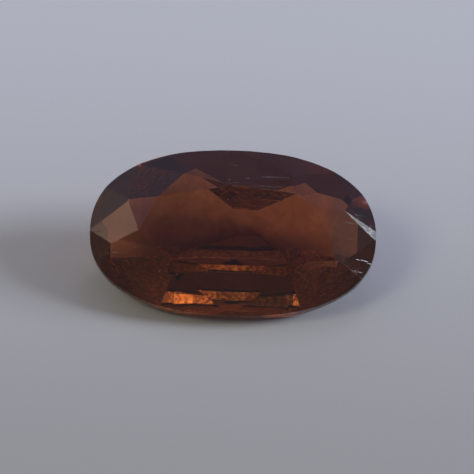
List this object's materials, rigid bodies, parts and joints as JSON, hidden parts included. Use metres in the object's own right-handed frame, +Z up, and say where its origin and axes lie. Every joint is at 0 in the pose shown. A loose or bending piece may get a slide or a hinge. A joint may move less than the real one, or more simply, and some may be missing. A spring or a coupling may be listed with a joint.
{
  "type": "oval faceted hessonite garnet",
  "caption": "Loose dark orange-brown hessonite garnet, cut as a long oval with a brilliant crown and a keeled step pavilion, lying tilted on one keel facet.",
  "frame": {"origin": "middle of the stone's footprint, on the surface it lies on", "axes": "+X along the stone, +Z up, and the table leans towards -Y"},
  "size_m": [0.014, 0.0076, 0.0047],
  "materials": {
    "garnet": "polished facets, transparent deep orange-brown, with a matt ground girdle"
  },
  "bodies": {
    "root": {"hessonite": "garnet"}
  },
  "joints": []
}
